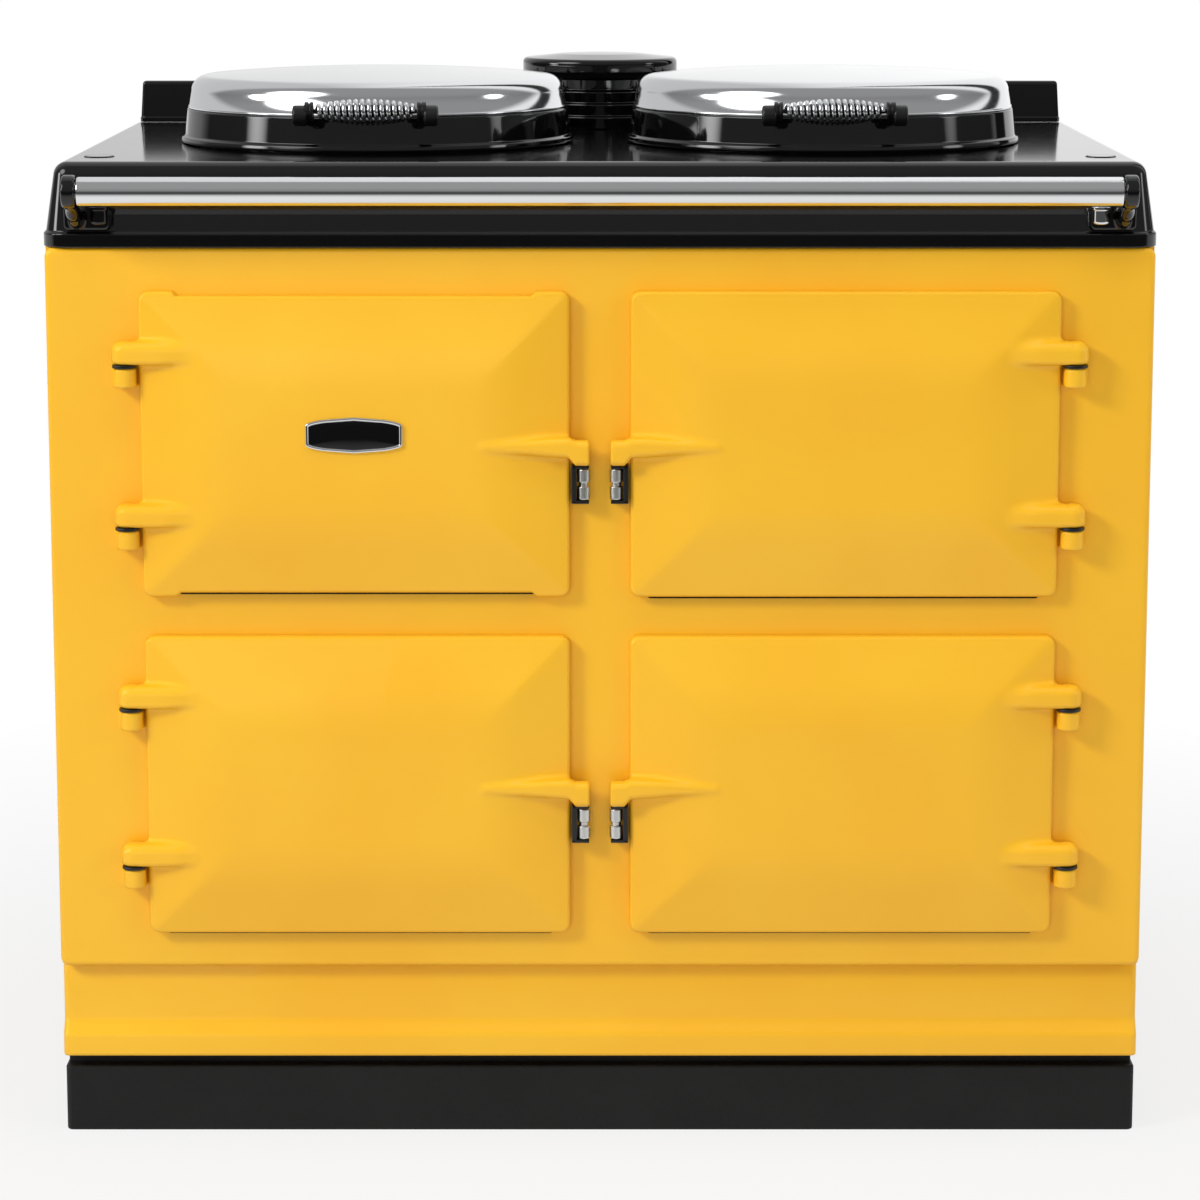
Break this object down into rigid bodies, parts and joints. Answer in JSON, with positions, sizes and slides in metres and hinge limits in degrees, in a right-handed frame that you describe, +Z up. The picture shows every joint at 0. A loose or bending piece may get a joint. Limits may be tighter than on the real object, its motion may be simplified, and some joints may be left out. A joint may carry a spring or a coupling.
{
  "type": "range cooker",
  "caption": "Cast iron range cooker with bevelled doors on cast hinges, domed hotplate lids with coil handles, a towel rail, an upstand and a flue outlet.",
  "frame": {"origin": "on the floor, at the middle of the cooker's outline seen from above", "axes": "+Z up, -Y towards the person at the doors, +X to that person's right"},
  "size_m": [0.992, 0.698, 0.97],
  "materials": {
    "yellow_enamel": "gloss vitreous enamel",
    "black_enamel": "gloss vitreous enamel",
    "satin_black": "satin",
    "chrome": "polished",
    "bright_steel": "turned",
    "cast_iron": "machined and oiled",
    "grey_enamel": "matt vitreous enamel",
    "liner_steel": "brushed"
  },
  "bodies": {
    "cabinet": {"back_panel": "satin_black", "baking_oven": "grey_enamel", "baking_shelf": "cast_iron", "base_plinth": "satin_black", "catch_bracket_bottom_left": "satin_black", "catch_bracket_bottom_right": "satin_black", "catch_bracket_top_left": "satin_black", "catch_bracket_top_right": "satin_black", "control_housing": "grey_enamel", "flue_body": "black_enamel", "flue_cap": "black_enamel", "front_plate": "yellow_enamel", "hinge_pin_bottom_left_lower": "satin_black", "hinge_pin_bottom_left_upper": "satin_black", "hinge_pin_bottom_right_lower": "satin_black", "hinge_pin_bottom_right_upper": "satin_black", "hinge_pin_top_left_lower": "satin_black", "hinge_pin_top_left_upper": "satin_black", "hinge_pin_top_right_lower": "satin_black", "hinge_pin_top_right_upper": "satin_black", "hotplate_left": "cast_iron", "hotplate_right": "cast_iron", "kick_panel": "yellow_enamel", "lid_hinge_left": "satin_black", "lid_hinge_right": "satin_black", "rail_bracket_left": "black_enamel", "rail_bracket_right": "black_enamel", "roasting_oven": "grey_enamel", "roasting_shelf": "cast_iron", "side_panel_left": "yellow_enamel", "side_panel_right": "yellow_enamel", "simmering_oven": "grey_enamel", "simmering_shelf": "cast_iron", "top_plate": "black_enamel", "towel_rail": "chrome", "upstand": "black_enamel"},
    "door_top_left_body": {"door_top_left": "yellow_enamel", "door_liner_top_left": "liner_steel", "badge": "black_enamel"},
    "roller_top_left_body": {"catch_roller_top_left": "bright_steel"},
    "door_top_right_body": {"door_top_right": "yellow_enamel", "door_liner_top_right": "liner_steel"},
    "roller_top_right_body": {"catch_roller_top_right": "bright_steel"},
    "door_bottom_left_body": {"door_bottom_left": "yellow_enamel", "door_liner_bottom_left": "liner_steel"},
    "roller_bottom_left_body": {"catch_roller_bottom_left": "bright_steel"},
    "door_bottom_right_body": {"door_bottom_right": "yellow_enamel", "door_liner_bottom_right": "liner_steel"},
    "roller_bottom_right_body": {"catch_roller_bottom_right": "bright_steel"},
    "lid_left_body": {"lid_ring_left": "black_enamel", "lid_dome_left": "chrome", "lid_handle_frame_left": "satin_black", "lid_handle_coil_left": "chrome"},
    "lid_right_body": {"lid_ring_right": "black_enamel", "lid_dome_right": "chrome", "lid_handle_frame_right": "satin_black", "lid_handle_coil_right": "chrome"},
    "knob_1_body": {"control_knob_1": "satin_black"},
    "knob_2_body": {"control_knob_2": "satin_black"},
    "knob_3_body": {"control_knob_3": "satin_black"}
  },
  "joints": [
    {"name": "door_top_left_hinge", "type": "hinge", "parent": "cabinet", "child": "door_top_left_body", "pos_m": [-0.422, -0.2935, 0.6445], "axis": [0, 0, 1], "range_deg": [-110, 0]},
    {"name": "door_top_right_hinge", "type": "hinge", "parent": "cabinet", "child": "door_top_right_body", "pos_m": [0.422, -0.2935, 0.6445], "axis": [0, 0, 1], "range_deg": [0, 110]},
    {"name": "door_bottom_left_hinge", "type": "hinge", "parent": "cabinet", "child": "door_bottom_left_body", "pos_m": [-0.422, -0.2935, 0.3335], "axis": [0, 0, 1], "range_deg": [-110, 0]},
    {"name": "door_bottom_right_hinge", "type": "hinge", "parent": "cabinet", "child": "door_bottom_right_body", "pos_m": [0.422, -0.2935, 0.3335], "axis": [0, 0, 1], "range_deg": [0, 110]},
    {"name": "lid_left_hinge", "type": "hinge", "parent": "cabinet", "child": "lid_left_body", "pos_m": [-0.2127, 0.232, 0.92], "axis": [-1, 0, 0], "range_deg": [0, 90]},
    {"name": "lid_right_hinge", "type": "hinge", "parent": "cabinet", "child": "lid_right_body", "pos_m": [0.2127, 0.232, 0.92], "axis": [-1, 0, 0], "range_deg": [0, 90]},
    {"name": "knob_1_turn", "type": "hinge", "parent": "cabinet", "child": "knob_1_body", "pos_m": [-0.30825, -0.1722, 0.6445], "axis": [0, -1, 0], "range_deg": [0, 270]},
    {"name": "knob_2_turn", "type": "hinge", "parent": "cabinet", "child": "knob_2_body", "pos_m": [-0.21825, -0.1722, 0.6445], "axis": [0, -1, 0], "range_deg": [0, 270]},
    {"name": "knob_3_turn", "type": "hinge", "parent": "cabinet", "child": "knob_3_body", "pos_m": [-0.12825, -0.1722, 0.6445], "axis": [0, -1, 0], "range_deg": [0, 270]},
    {"name": "roller_top_left_spin", "type": "hinge", "parent": "cabinet", "child": "roller_top_left_body", "pos_m": [-0.0145, -0.2905, 0.60975], "axis": [0, 0, 1], "continuous": true},
    {"name": "roller_top_right_spin", "type": "hinge", "parent": "cabinet", "child": "roller_top_right_body", "pos_m": [0.0145, -0.2905, 0.60975], "axis": [0, 0, 1], "continuous": true},
    {"name": "roller_bottom_left_spin", "type": "hinge", "parent": "cabinet", "child": "roller_bottom_left_body", "pos_m": [-0.0145, -0.2905, 0.29875], "axis": [0, 0, 1], "continuous": true},
    {"name": "roller_bottom_right_spin", "type": "hinge", "parent": "cabinet", "child": "roller_bottom_right_body", "pos_m": [0.0145, -0.2905, 0.29875], "axis": [0, 0, 1], "continuous": true}
  ]
}
